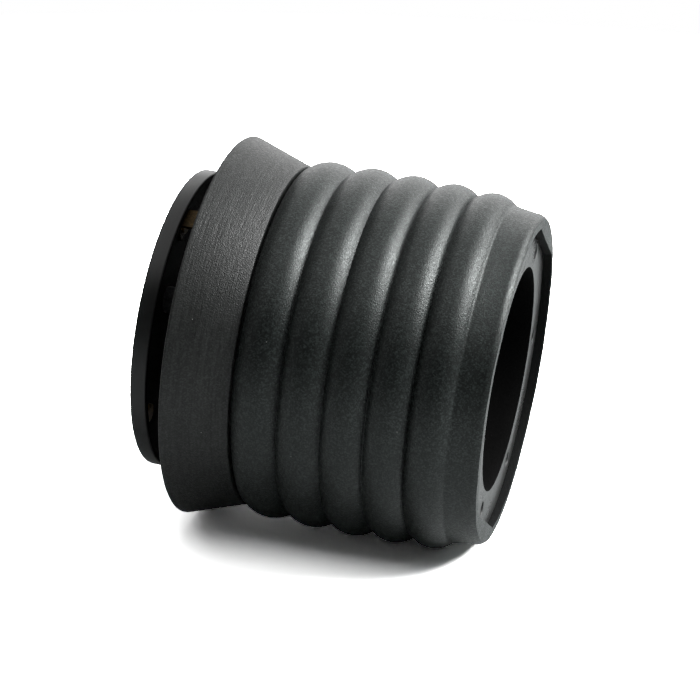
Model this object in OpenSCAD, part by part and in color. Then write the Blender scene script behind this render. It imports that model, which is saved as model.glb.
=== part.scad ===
// Hub adapter that carries a six-bolt steering wheel on a splined steering column.
// The hub axis is X: the wheel face is the plane x = 0, the wheel lies towards +X and
// the column towards -X. Z is up with the hub on its side. Angles round the hub start
// at +Z and turn towards +Y. Lengths are in millimetres.

/* [Wheel face] */
// Diameter of the wheel bolt circle
bolt_circle_d = 70; // [66:0.5:72]
// Number of wheel bolts
bolt_count = 6; // [3:1:9]
// Bore of a tapped wheel bolt hole
bolt_hole_d = 4.2; // [3.2:0.1:5]
// Land between the bolt circle and the opening in the wheel face
opening_land = 5; // [4.5:0.1:8]
// Land between the bolt circle and the edge of the front plate
plate_land = 5.7; // [4.5:0.1:6.5]
// Depth of the two flats on the front plate
flat_depth = 2.9; // [1.8:0.1:3.2]
// Thickness of the front plate
plate_t = 5; // [4:0.25:6]
// Angle of the first wheel bolt and of the flats
face_angle = 30; // [0:5:55]

/* [Shroud] */
// Wall of the ribbed shroud
shroud_wall = 2.4; // [1.8:0.1:2.8]
// Number of ribs
rib_count = 5; // [3:1:7]
// Length of the rib next to the nose
rib_pitch = 10.35; // [9.5:0.05:11]
// Extra length of each rib over the one in front of it
rib_growth = 0.35; // [0:0.05:0.4]
// Height of the fullest rib over the spigot
rib_stand = 4.95; // [4:0.05:5.4]
// Where the fullest rib is, counted from 0 at the nose
fullest_rib = 2.7; // [1.5:0.1:3.5]
// How fast the crest diameter falls away from the fullest rib
crest_fall = 0.26; // [0:0.02:0.3]
// Rib arc radius as a share of the rib's length
rib_roundness = 0.68; // [0.6:0.01:0.8]
// Length of the smooth nose behind the wheel face
nose_len = 6.6; // [6:0.1:9]
// Wall of the nose round the front plate
nose_wall = 3.4; // [3:0.1:3.6]
// Growth in radius from the nose's front to the first rib
nose_taper = 0.95; // [0.5:0.05:1.2]
// Radius of the rounding round the front of the nose
nose_round_r = 3.2; // [2.8:0.1:4]
// How far behind the wheel face that rounding starts
nose_round_back = 0.4; // [0.2:0.1:0.8]
// Height of the lip over the front plate on its high side
lip_high = 2.6; // [1.7:0.1:2.7]
// Angle of the lip's high side
lip_angle = 90; // [0:5:175]
// Height of the lip over the front plate on its low side
lip_low = 1.5; // [0.4:0.1:1.6]
// Wall of the spigot behind the last rib
spigot_wall = 2.35; // [2:0.05:2.6]
// Thickness of the ledge behind the front plate
ledge_t = 3; // [2:0.25:4]
// Width of the ledge
ledge_w = 4.35; // [3.8:0.05:5.5]

/* [Skirt] */
// Length of the flared skirt ring
skirt_len = 16.7; // [15.5:0.1:19]
// Step down from the last rib's crest to the skirt's front edge
skirt_step = 2.33; // [2:0.01:3]
// Growth in radius from the skirt's front edge to its back edge
skirt_flare = 5.8; // [4.5:0.1:7]
// Width of the groove between the skirt and the last rib
skirt_groove = 0.8; // [0.3:0.1:1]
// Wall at the skirt's back edge
skirt_lip_wall = 2.2; // [1.6:0.1:3]
// Thickness of the skirt's inner shoulder
shoulder_t = 1.9; // [1.5:0.1:2.4]
// Depth of the shoulder inside the skirt's back edge
shoulder_recess = 1.1; // [0.8:0.1:1.6]
// Overlap of the shoulder on the boss flange
shoulder_w = 5.6; // [4.5:0.1:7]
// Number of skirt screws
skirt_screw_count = 3; // [2:1:5]
// Distance of the skirt screws from the edge of the boss flange
skirt_screw_edge = 2.5; // [2.2:0.1:3]
// Shank diameter of a skirt screw
skirt_screw_d = 3; // [2.5:0.1:3.2]

/* [Crush tube] */
// Wall of the crush tube
tube_wall = 1.6; // [1.2:0.1:1.8]
// Depth of the tube's seat in the front plate
tube_seat = 1.5; // [1:0.1:2.5]
// Thickness of the tube's rear flange
tube_flange_t = 2; // [1.5:0.1:3]
// Width of the tube's rear flange
tube_flange_w = 8.9; // [8.7:0.1:9.2]
// Diameter of a crush hole
crush_hole_d = 6; // [4:0.25:7]
// Number of crush holes in a row
crush_hole_count = 16; // [12:1:20]
// Number of rows of crush holes
crush_rows = 5; // [3:1:6]
// Distance between rows of crush holes
crush_row_pitch = 9; // [8:0.25:10]
// Distance from the tube's rear flange to the first row
crush_first_row = 10.8; // [9:0.2:12]

/* [Boss] */
// Thickness of the boss flange
flange_t = 5; // [4:0.25:6]
// Step out from the tube's flange to the edge of the boss flange
flange_step = 0.6; // [0.3:0.1:1]
// Diameter of the boss barrel
barrel_d = 38; // [36:0.5:40]
// Reach of the barrel in front of the flange
barrel_reach = 19.5; // [16:0.5:24]
// Diameter of the nut seat
nut_seat_d = 30; // [28:0.5:31]
// Depth of the nut seat
nut_seat_depth = 7; // [5:0.5:9]
// Outer diameter of the splined bush
bush_d = 25; // [23.5:0.25:26]
// Length of the splined bush
bush_len = 24; // [18:0.5:26]
// Number of spline teeth
spline_teeth = 36; // [24:1:48]
// Diameter over the roots of the spline
spline_root_d = 17.8; // [16:0.1:17.8]
// Depth of a spline tooth
spline_depth = 0.7; // [0.4:0.05:0.9]
// Clearance of the pilot bore over the spline's roots
pilot_gap = 0.1; // [0.1:0.05:0.8]
// Number of gussets between barrel and flange
gusset_count = 6; // [3:3:6]
// Thickness of a gusset
gusset_t = 3; // [2:0.25:4]
// Number of screws through the tube flange
tube_screw_count = 6; // [3:3:6]
// Distance of those screws from the tube's wall
tube_screw_out = 4.7; // [4.5:0.1:4.8]
// Shank diameter of those screws
tube_screw_d = 5; // [4:0.1:5]
// Diameter of the locking dowels
dowel_d = 3; // [2:0.25:3.5]
// Length of the locking dowels
dowel_len = 10; // [6:0.5:14]
// Number of locking dowels
dowel_count = 2; // [1:1:4]
// Angle of the first locking dowel
dowel_angle = 90; // [0:15:90]

/* [Horn contact] */
// Diameter of the contact carrier
carrier_d = 81.1; // [79:0.1:83]
// Depth of the carrier's rim
carrier_rim = 4.3; // [4:0.1:6]
// Wall of the carrier's rim
carrier_wall = 2; // [1.5:0.1:2.2]
// Thickness of the carrier's web
web_t = 2.6; // [2.2:0.1:3]
// Gap between the skirt and the carrier
carrier_gap = 7.3; // [7:0.1:10]
// Distance of the slip ring from the carrier's edge
slip_ring_edge = 2.95; // [2.5:0.05:3.5]
// Width of the slip ring
slip_ring_w = 4.6; // [4:0.1:5]
// Thickness of the slip ring
slip_ring_t = 0.8; // [0.5:0.1:1]
// Height of the slip ring over the carrier
slip_ring_proud = 0.3; // [0.1:0.1:0.4]
// Number of slip ring rivets
rivet_count = 4; // [3:1:6]
// Shank diameter of a rivet
rivet_d = 2.4; // [2:0.1:2.8]
// Width of the horn terminal
terminal_w = 6.3; // [4.8:0.1:6.3]
// Thickness of the horn terminal
terminal_t = 0.8; // [0.6:0.1:1]
// Height of the horn terminal over the web
terminal_h = 6.4; // [5:0.2:8]
// Angle at which the terminal stands
terminal_angle = -26; // [-40:1:-15]
// Number of carrier screws
carrier_screw_count = 3; // [2:1:4]
// Angle of the first carrier screw
carrier_screw_angle = 60; // [45:5:75]
// Shank diameter of a carrier screw
carrier_screw_d = 4; // [3:0.1:4]
// Outer diameter of a spacer
spacer_d = 7; // [6.5:0.1:8]

/* [Cancelling cam] */
// Thickness of the cam
cam_t = 3; // [2:0.25:4]
// Radial width of the cam's ring
cam_w = 3.85; // [3:0.05:4.4]
// Height of a cam lobe
lobe_h = 2.5; // [1.5:0.1:2.5]
// Width of a cam lobe
lobe_w = 14; // [10:0.5:18]
// Thickness of the retaining clip
clip_t = 1; // [0.8:0.05:1.2]
// Radial width of the retaining clip
clip_w = 3; // [2.4:0.1:3.4]

/* [Wire grommet] */
// Diameter of the grommet's hole in the boss flange
grommet_hole_d = 8; // [6:0.25:8.5]
// Diameter of the wire bore
wire_bore_d = 4; // [3:0.25:4.5]
// Height of a grommet collar over the flange
collar_t = 1.2; // [0.8:0.1:1.6]

/* [Hidden] */
$fn = 96;

// Clearances
soft_fit = 0.15;    // moulded part on its seat
metal_fit = 0.05;   // metal part in its seat
hole_fit = 0.25;    // screw in its clearance hole
cut = 1;            // how far a cutting tool runs past a face

// Front plate
opening_d = bolt_circle_d - 2 * opening_land;
plate_d = bolt_circle_d + 2 * plate_land;
plate_flats = plate_d - 2 * flat_depth;

// Radii at the rear end, from the crush tube outwards to the fullest rib
tube_in_r = opening_d / 2;
tube_out_r = tube_in_r + tube_wall;
tube_flange_r = tube_out_r + tube_flange_w;
tube_screw_r = tube_out_r + tube_screw_out;
flange_r = tube_flange_r + flange_step;
spigot_bore_r = flange_r + soft_fit;
spigot_r = spigot_bore_r + spigot_wall;
fullest_r = spigot_r + rib_stand;

// Ribs, counted from the nose backwards
function pitch(i) = rib_pitch + i * rib_growth;
function groove_x(i) = -nose_len - i * rib_pitch - rib_growth * i * (i - 1) / 2;
function rib_x(i) = groove_x(i) - pitch(i) / 2;
function arc_r(i) = pitch(i) * rib_roundness;
function crest_r(i) = fullest_r - crest_fall / 2 * pow(i - fullest_rib, 2);
function groove_r(i) = crest_r(i) - arc_r(i) + sqrt(pow(arc_r(i), 2) - pow(pitch(i) / 2, 2));
groove_fill = 0.12; // flat at the bottom of each groove, measured in radius
last_rib = rib_count - 1;
sleeve_front_r = groove_r(0) + groove_fill;
sleeve_back_r = groove_r(last_rib) + groove_fill;

// Stations along the hub
plate_back = -plate_t;
ledge_back = plate_back - ledge_t;
ribs_back = groove_x(rib_count);
skirt_front = ribs_back - skirt_groove;
skirt_back = skirt_front - skirt_len;
shoulder_back = skirt_back + shoulder_recess;
flange_back = shoulder_back + shoulder_t;
flange_front = flange_back + flange_t;
rim_front = skirt_back - carrier_gap;
carrier_back = rim_front - carrier_rim;
web_front = carrier_back + web_t;
cam_back = carrier_back - cam_t;
clip_back = cam_back - clip_t;
barrel_back = clip_back - clip_t;
barrel_front = flange_front + barrel_reach;
nut_seat_x = barrel_front - nut_seat_depth;
bush_back = nut_seat_x - bush_len;

// Shroud
lip_tilt = atan((lip_high - lip_low) / plate_d);
lip_mid = (lip_high + lip_low) / 2;
recess_r = plate_d / 2 + soft_fit;
ledge_r = recess_r - ledge_w;
nose_front_r = recess_r + nose_wall;
nose_back_r = nose_front_r + nose_taper;
nose_arc_x = -nose_round_back;
nose_arc_r = nose_front_r - nose_round_r;
sleeve_bore_r = sleeve_front_r - shroud_wall;
spigot_step_x = ribs_back + shroud_wall;

// Clamp band round the spigot
band_w = 6;
band_t = 0.6;
band_sink = 0.4;
band_back = flange_back + band_w / 2;
band_front = band_back + band_w;
band_in_r = spigot_r - band_sink;
band_out_r = band_in_r + band_t;

// Skirt
skirt_bore_r = band_out_r + soft_fit;
skirt_front_r = crest_r(last_rib) - skirt_step;
skirt_back_r = skirt_front_r + skirt_flare;
skirt_lip_in_r = skirt_back_r - skirt_lip_wall;
shoulder_r = flange_r - shoulder_w;
skirt_screw_r = flange_r - skirt_screw_edge;
pan_r = 2.7;
pan_h = 2;
cross_len = 3.2;
cross_w = 0.6;

// Crush tube and its screws
tube_front = plate_back + tube_seat;
tube_flange_front = flange_front + tube_flange_t;
washer_t = 1;
washer_r = 4.2;
head_r = 4;
head_h = 5;
socket_r = 2.3;
tip_gap = 0.5;      // how far a tube screw's tip stays in front of the flange's back
blind_rest = 1;     // how far the other screws' tips stay behind the flange's front

// Boss
barrel_r = barrel_d / 2;
pilot_r = spline_root_d / 2 + pilot_gap;

// Contact carrier
carrier_r = carrier_d / 2;
carrier_bore_r = barrel_r + soft_fit;
slip_out_r = carrier_r - slip_ring_edge;
slip_in_r = slip_out_r - slip_ring_w;
slip_back = carrier_back - slip_ring_proud;
slip_front = slip_back + slip_ring_t;
carrier_screw_r = (carrier_bore_r + slip_in_r) / 2;
rivet_r = (slip_out_r + slip_in_r) / 2;
rivet_head_r = rivet_d;
rivet_head_h = 0.8;
terminal_out_r = carrier_r - carrier_wall - terminal_t;
terminal_in_r = rivet_r - rivet_head_r - terminal_t;
csk_r = carrier_screw_d;
csk_slot_w = 1;
csk_slot_depth = 1;

// Cam and clip
cam_bore_r = barrel_r + soft_fit;
cam_r = cam_bore_r + cam_w;
clip_groove_r = barrel_r - clip_t;
clip_in_r = clip_groove_r + metal_fit;
clip_out_r = clip_in_r + clip_w;
clip_gap_w = 8;

// Grommet
grommet_r = (barrel_r + tube_in_r) / 2;
collar_r = grommet_hole_d / 2 + collar_t;

// Turns the Z axis of its children to +X, their X to +Y and their Y to +Z
module along_x() rotate([90, 0, 90]) children();

// Turns a half profile, drawn as [radius, x], round the hub's axis
module lathe() along_x() rotate_extrude() children();

// Places children at a radius and an angle round the hub
module at_polar(r, angle) rotate([-angle, 0, 0]) translate([0, 0, r]) children();

// Repeats children round the hub
module around(count, first) {
    for (i = [0 : count - 1]) rotate([-first - i * 360 / count, 0, 0]) children();
}

module rod(r, x0, x1) {
    along_x() translate([0, 0, x0]) cylinder(r = r, h = x1 - x0);
}

module ring(r_out, r_in, x0, x1) {
    difference() {
        rod(r_out, x0, x1);
        rod(r_in, x0 - cut, x1 + cut);
    }
}

// A disc between two flats that face the first wheel bolt and the bolt opposite it
module double_d(r, across, x0, x1) {
    intersection() {
        rod(r, x0, x1);
        rotate([-face_angle, 0, 0])
            translate([x0, -2 * r, -across / 2]) cube([x1 - x0, 4 * r, across]);
    }
}

// Outer half profile of the shroud
module shroud_outline() {
    polygon([
        [0, flange_back], [spigot_r, flange_back], [spigot_r, ribs_back],
        [sleeve_back_r, ribs_back], [sleeve_front_r, groove_x(0)], [nose_back_r, groove_x(0)],
        [nose_front_r, nose_arc_x], [nose_arc_r, nose_arc_x + nose_round_r],
        [0, nose_arc_x + nose_round_r]
    ]);
    intersection() {
        translate([nose_arc_r, nose_arc_x]) circle(r = nose_round_r);
        translate([0, nose_arc_x]) square([nose_front_r, nose_round_r]);
    }
    for (i = [0 : last_rib]) translate([crest_r(i) - arc_r(i), rib_x(i)]) circle(r = arc_r(i));
}

// Half profile of the hollow behind the ledge, which follows the ribs
module shroud_hollow() {
    polygon([
        [0, flange_back - cut], [spigot_bore_r, flange_back - cut],
        [spigot_bore_r, spigot_step_x], [sleeve_bore_r, spigot_step_x],
        [sleeve_bore_r, ledge_back], [0, ledge_back]
    ]);
    for (i = [0 : last_rib]) {
        translate([crest_r(i) - arc_r(i), rib_x(i)]) circle(r = arc_r(i) - shroud_wall);
    }
}

module shroud() {
    color([0.13, 0.13, 0.14]) difference() {
        lathe() difference() {
            shroud_outline();
            shroud_hollow();
            translate([band_in_r, band_back]) square([band_sink + cut, band_w]);
            translate([0, ledge_back - cut]) square([ledge_r, plate_t + ledge_t + cut]);
        }
        double_d(recess_r, plate_flats + 2 * soft_fit, plate_back, nose_arc_x + nose_round_r + cut);
        rotate([-lip_angle, 0, 0]) translate([lip_mid, 0, 0]) rotate([0, lip_tilt, 0])
            translate([0, -2 * nose_back_r, -2 * nose_back_r])
                cube([nose_round_r + cut, 4 * nose_back_r, 4 * nose_back_r]);
    }
}

module clamp_band() {
    color([0.62, 0.63, 0.65]) ring(band_out_r, band_in_r, band_back, band_front);
}

module skirt_ring() {
    color([0.16, 0.16, 0.165]) difference() {
        lathe() polygon([
            [skirt_bore_r, skirt_front], [skirt_front_r, skirt_front],
            [skirt_back_r, skirt_back], [skirt_lip_in_r, skirt_back],
            [skirt_lip_in_r - skirt_lip_wall, shoulder_back], [shoulder_r, shoulder_back],
            [shoulder_r, flange_back], [skirt_bore_r, flange_back]
        ]);
        around(skirt_screw_count, 0) at_polar(skirt_screw_r, 0)
            rod(skirt_screw_d / 2 + hole_fit, shoulder_back - cut, flange_back + cut);
    }
}

// A screw with a pan head and a cross slot; its shank runs from the head to x1
module pan_screw(r, x0, x1) {
    difference() {
        union() {
            rod(pan_r, x0 - pan_h, x0);
            rod(r, x0, x1);
        }
        for (a = [0, 90]) rotate([a, 0, 0])
            translate([x0 - pan_h - cut, -cross_len / 2, -cross_w / 2])
                cube([cut + pan_h / 2, cross_len, cross_w]);
    }
}

module skirt_screws() {
    color([0.55, 0.55, 0.57]) around(skirt_screw_count, 0) at_polar(skirt_screw_r, 0)
        pan_screw(skirt_screw_d / 2, shoulder_back, flange_front - blind_rest);
}

module front_plate() {
    color([0.2, 0.2, 0.21]) difference() {
        double_d(plate_d / 2, plate_flats, plate_back, 0);
        rod(opening_d / 2, plate_back - cut, cut);
        rod(tube_out_r + metal_fit, plate_back - cut, tube_front);
        around(bolt_count, face_angle) at_polar(bolt_circle_d / 2, 0)
            rod(bolt_hole_d / 2, plate_back - cut, cut);
    }
}

module crush_holes() {
    first_row = tube_flange_front + crush_first_row;
    for (row = [0 : crush_rows - 1]) {
        around(crush_hole_count, row % 2 * 180 / crush_hole_count)
            translate([first_row + row * crush_row_pitch, 0, tube_in_r - cut])
                cylinder(d = crush_hole_d, h = tube_wall + 2 * cut);
    }
}

module crush_tube() {
    color([0.28, 0.28, 0.29]) difference() {
        union() {
            rod(tube_out_r, flange_front, tube_front);
            rod(tube_flange_r, flange_front, tube_flange_front);
        }
        rod(tube_in_r, flange_front - cut, tube_front + cut);
        crush_holes();
        around(tube_screw_count, face_angle) at_polar(tube_screw_r, 0)
            rod(tube_screw_d / 2 + hole_fit, flange_front - cut, tube_flange_front + cut);
    }
}

module tube_washers() {
    color([0.7, 0.7, 0.72]) around(tube_screw_count, face_angle) at_polar(tube_screw_r, 0)
        ring(washer_r, tube_screw_d / 2 + hole_fit, tube_flange_front, tube_flange_front + washer_t);
}

module tube_screws() {
    head_x = tube_flange_front + washer_t;
    color([0.25, 0.25, 0.26]) around(tube_screw_count, face_angle) at_polar(tube_screw_r, 0)
        difference() {
            union() {
                rod(head_r, head_x, head_x + head_h);
                rod(tube_screw_d / 2, flange_back + tip_gap, head_x);
            }
            along_x() translate([0, 0, head_x + head_h / 2]) cylinder(r = socket_r, h = head_h, $fn = 6);
        }
}

// Barrel of the boss, which holds the splined bush and the column's nut
module boss() {
    color([0.66, 0.67, 0.68]) difference() {
        rod(barrel_r, barrel_back, barrel_front);
        rod(nut_seat_d / 2, nut_seat_x, barrel_front + cut);
        rod(bush_d / 2 + metal_fit, bush_back, nut_seat_x + cut);
        rod(pilot_r, barrel_back - cut, bush_back + cut);
        around(dowel_count, dowel_angle) at_polar(bush_d / 2, 0)
            rod(dowel_d / 2 + metal_fit, nut_seat_x - dowel_len, nut_seat_x + cut);
        ring(barrel_d, clip_groove_r, clip_back, cam_back);
    }
}

module boss_flange() {
    color([0.62, 0.63, 0.64]) difference() {
        ring(flange_r, barrel_r + metal_fit, flange_back, flange_front);
        around(tube_screw_count, face_angle) at_polar(tube_screw_r, 0)
            rod(tube_screw_d / 2 + metal_fit, flange_back - cut, flange_front + cut);
        around(skirt_screw_count, 0) at_polar(skirt_screw_r, 0)
            rod(skirt_screw_d / 2 + metal_fit, flange_back - cut, flange_front + cut);
        around(carrier_screw_count, carrier_screw_angle) at_polar(carrier_screw_r, 0)
            rod(carrier_screw_d / 2 + metal_fit, flange_back - cut, flange_front + cut);
        at_polar(grommet_r, face_angle) rod(grommet_hole_d / 2, flange_back - cut, flange_front + cut);
    }
}

// Plates welded between the flange and the barrel
module boss_gussets() {
    color([0.58, 0.59, 0.6]) around(gusset_count, face_angle) difference() {
        along_x() rotate([90, 0, 0]) translate([0, 0, -gusset_t / 2]) linear_extrude(gusset_t) polygon([
            [barrel_r - cut, flange_front], [tube_in_r - cut, flange_front],
            [tube_in_r - cut, flange_front + gusset_t],
            [barrel_r, barrel_front - gusset_t], [barrel_r - cut, barrel_front - gusset_t]
        ]);
        rod(barrel_r + metal_fit, flange_front - cut, barrel_front);
    }
}

// Outline of the spline, with a tooth and a root every turn / spline_teeth
module spline_outline() {
    root_r = spline_root_d / 2;
    step = 360 / spline_teeth;
    polygon([
        for (i = [0 : spline_teeth - 1], p = [[0, 0], [0.3, 0], [0.5, 1], [0.8, 1]])
            (root_r - spline_depth * p[1]) * [cos((i + p[0]) * step), sin((i + p[0]) * step)]
    ]);
}

module spline_bush() {
    color([0.5, 0.5, 0.52]) difference() {
        rod(bush_d / 2, bush_back, nut_seat_x);
        along_x() translate([0, 0, bush_back - cut]) linear_extrude(bush_len + 2 * cut) spline_outline();
        around(dowel_count, dowel_angle) at_polar(bush_d / 2, 0)
            rod(dowel_d / 2 + metal_fit, nut_seat_x - dowel_len, nut_seat_x + cut);
    }
}

module bush_dowels() {
    color([0.75, 0.75, 0.76]) around(dowel_count, dowel_angle) at_polar(bush_d / 2, 0)
        rod(dowel_d / 2, nut_seat_x - dowel_len, nut_seat_x - metal_fit);
}

module slip_ring_carrier() {
    color([0.1, 0.1, 0.105]) difference() {
        rod(carrier_r, carrier_back, rim_front);
        rod(carrier_r - carrier_wall, web_front, rim_front + cut);
        rod(carrier_bore_r, carrier_back - cut, rim_front + cut);
        ring(slip_out_r + metal_fit, slip_in_r - metal_fit, carrier_back - cut, slip_front);
        around(rivet_count, terminal_angle) at_polar(rivet_r, 0)
            rod(rivet_d / 2 + metal_fit, carrier_back - cut, web_front + cut);
        around(carrier_screw_count, carrier_screw_angle) at_polar(carrier_screw_r, 0) {
            rod(carrier_screw_d / 2 + hole_fit, carrier_back - cut, web_front + cut);
            csk_cone(metal_fit);
        }
    }
}

// Countersunk head of a carrier screw, grown by gap for the seat it lies in
module csk_cone(gap) {
    along_x() translate([0, 0, carrier_back])
        cylinder(r1 = csk_r + gap, r2 = carrier_screw_d / 2 + gap, h = csk_r - carrier_screw_d / 2);
}

module slip_ring() {
    color([0.78, 0.6, 0.28]) difference() {
        ring(slip_out_r, slip_in_r, slip_back, slip_front);
        around(rivet_count, terminal_angle) at_polar(rivet_r, 0)
            rod(rivet_d / 2 + metal_fit, slip_back - cut, slip_front + cut);
    }
}

// A rivet from the slip ring's face to a head that seats at x
module rivet(x) {
    at_polar(rivet_r, 0) {
        rod(rivet_d / 2, slip_back, x);
        rod(rivet_head_r, x, x + rivet_head_h);
    }
}

module slip_ring_rivets() {
    step = 360 / rivet_count;
    color([0.75, 0.58, 0.3]) for (i = [1 : rivet_count - 1])
        rotate([-terminal_angle - i * step, 0, 0]) rivet(web_front);
}

module terminal_rivet() {
    color([0.75, 0.58, 0.3]) rotate([-terminal_angle, 0, 0]) rivet(web_front + terminal_t);
}

module horn_terminal() {
    color([0.8, 0.62, 0.3]) rotate([-terminal_angle, 0, 0]) difference() {
        union() {
            translate([web_front, -terminal_w / 2, terminal_in_r])
                cube([terminal_t, terminal_w, terminal_out_r - terminal_in_r]);
            translate([web_front, -terminal_w / 2, terminal_out_r - terminal_t])
                cube([terminal_h, terminal_w, terminal_t]);
        }
        at_polar(rivet_r, 0) rod(rivet_d / 2 + metal_fit, web_front - cut, web_front + terminal_h + cut);
    }
}

module carrier_spacers() {
    color([0.72, 0.62, 0.3]) around(carrier_screw_count, carrier_screw_angle) at_polar(carrier_screw_r, 0)
        ring(spacer_d / 2, carrier_screw_d / 2 + hole_fit, web_front, flange_back);
}

module carrier_screws() {
    color([0.72, 0.62, 0.3]) around(carrier_screw_count, carrier_screw_angle)
        at_polar(carrier_screw_r, 0) difference() {
            union() {
                csk_cone(0);
                rod(carrier_screw_d / 2, carrier_back, flange_front - blind_rest);
            }
            translate([carrier_back - cut, -csk_r, -csk_slot_w / 2])
                cube([cut + csk_slot_depth, 2 * csk_r, csk_slot_w]);
        }
}

module cancel_cam() {
    color([0.85, 0.85, 0.82]) difference() {
        union() {
            rod(cam_r, cam_back, carrier_back);
            intersection() {
                rod(cam_r + lobe_h, cam_back, carrier_back);
                translate([cam_back, -lobe_w / 2, -2 * cam_r]) cube([cam_t, lobe_w, 4 * cam_r]);
            }
        }
        rod(cam_bore_r, cam_back - cut, carrier_back + cut);
    }
}

module cam_clip() {
    color([0.35, 0.35, 0.37]) difference() {
        ring(clip_out_r, clip_in_r, clip_back + metal_fit, cam_back);
        translate([clip_back - cut, -clip_gap_w / 2, 0])
            cube([clip_t + 2 * cut, clip_gap_w, 2 * clip_out_r]);
    }
}

module wire_grommet() {
    color([0.09, 0.09, 0.09]) at_polar(grommet_r, face_angle) difference() {
        union() {
            rod(grommet_hole_d / 2 - metal_fit, flange_back - collar_t, flange_front + collar_t);
            rod(collar_r, flange_back - collar_t, flange_back);
            rod(collar_r, flange_front, flange_front + collar_t);
        }
        rod(wire_bore_d / 2, flange_back - collar_t - cut, flange_front + collar_t + cut);
    }
}

shroud();
skirt_ring();
front_plate();
crush_tube();
boss();
boss_flange();
boss_gussets();
spline_bush();
bush_dowels();
tube_screws();
tube_washers();
clamp_band();
skirt_screws();
slip_ring_carrier();
slip_ring();
slip_ring_rivets();
horn_terminal();
terminal_rivet();
carrier_spacers();
carrier_screws();
cancel_cam();
cam_clip();
wire_grommet();
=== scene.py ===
"""Looks of a ribbed hub adapter for a steering wheel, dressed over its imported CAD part.

Lengths in the classes are millimetres in the part's own frame: the hub's axis is X, the wheel
face is the plane x = 0 and the column lies towards -X. A profile is a list of (x, r) points
that is spun round the axis.
"""

import logging
import math
from dataclasses import dataclass, field
from enum import Enum
from typing import Callable

import bmesh
import bpy
from mathutils import Matrix, Vector

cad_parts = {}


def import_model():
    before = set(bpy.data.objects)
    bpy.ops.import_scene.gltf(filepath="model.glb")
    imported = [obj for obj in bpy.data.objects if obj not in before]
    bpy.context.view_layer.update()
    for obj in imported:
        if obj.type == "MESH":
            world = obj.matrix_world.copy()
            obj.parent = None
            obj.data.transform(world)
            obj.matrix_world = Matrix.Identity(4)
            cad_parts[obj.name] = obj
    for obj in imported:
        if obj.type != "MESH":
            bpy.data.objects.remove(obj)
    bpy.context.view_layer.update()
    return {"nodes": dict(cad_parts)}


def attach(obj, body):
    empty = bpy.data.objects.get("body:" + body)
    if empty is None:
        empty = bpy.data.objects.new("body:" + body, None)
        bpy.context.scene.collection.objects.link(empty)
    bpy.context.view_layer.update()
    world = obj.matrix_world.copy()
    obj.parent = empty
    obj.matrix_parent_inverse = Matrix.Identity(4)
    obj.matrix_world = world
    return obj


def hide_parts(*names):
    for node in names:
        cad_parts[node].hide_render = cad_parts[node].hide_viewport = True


Mesh = bmesh.types.BMesh
Socket = bpy.types.NodeSocket
Point = tuple[float, float]
Triple = tuple[float, float, float]

LOG = logging.getLogger("hub_adapter")
BODY = "root"

# Lengths in millimetres
SEAT_FIT = 0.15  # a moulded piece on its seat
METAL_FIT = 0.05  # a metal piece in its seat
HOLE_FIT = 0.25  # a screw in its clearance hole
PAST = 1.0  # how far a cutter runs past a face
NEAR = 0.001  # two lengths within this are the same

# Lengths in metres
MM = 0.001
SEAM = 1e-7  # points of a spun mesh within this are joined
TRIMMED_SEAM = 1e-6  # the same for an outline that was trimmed
CUT_SEAM = 2e-6  # the same for what a cut leaves

# Sectors of round things
SPIN_STEPS = 288
HOLE_STEPS = 48

# Angles between two faces
SMOOTH_BELOW = math.radians(38)
BROKEN_ABOVE = math.radians(60)

# How squarely a face looks at something, of 1
FACING = 0.5


# ---------------------------------------------------------------- mesh helpers


def radial(angle: float) -> Vector:
    """Unit vector across the hub at an angle in degrees, from +Z towards +Y."""
    turn = math.radians(angle)
    return Vector((0.0, math.sin(turn), math.cos(turn)))


def around(count: int, first: float) -> list[float]:
    """Angles in degrees of count evenly spaced features."""
    return [first + i * 360.0 / count for i in range(count)]


def arc(centre: Point, radius: float, start: float, end: float, parts: int) -> list[Point]:
    """Points on an arc of a half profile.

    Args:
        centre: the arc's centre as (x, r).
        radius: the arc's radius.
        start: first angle in degrees, from +r towards +x.
        end: last angle in degrees.
        parts: number of straight parts.

    Returns:
        parts + 1 points as (x, r).
    """
    turns = [math.radians(start + (end - start) * i / parts) for i in range(parts + 1)]
    return [(centre[0] + radius * math.sin(t), centre[1] + radius * math.cos(t)) for t in turns]


def rounded(corners: list[Triple], parts: int = 4) -> list[Point]:
    """Rounds the corners of a closed half profile.

    Args:
        corners: each corner as (x, r, fillet radius).
        parts: straight parts in each fillet.

    Returns:
        The closed profile as (x, r) points.
    """
    points: list[Point] = []
    for i, (x, r, size) in enumerate(corners):
        if size <= 0.0:
            points.append((x, r))
            continue
        here = Vector((x, r))
        before = (Vector(corners[i - 1][:2]) - here).normalized()
        after = (Vector(corners[(i + 1) % len(corners)][:2]) - here).normalized()
        half = before.angle(after) / 2
        reach = size / math.tan(half)
        middle = here + (before + after).normalized() * size / math.sin(half)
        first = here + before * reach - middle
        last = here + after * reach - middle
        for k in range(parts + 1):
            points.append(tuple(middle + first.slerp(last, k / parts) * size))
    return points


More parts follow.
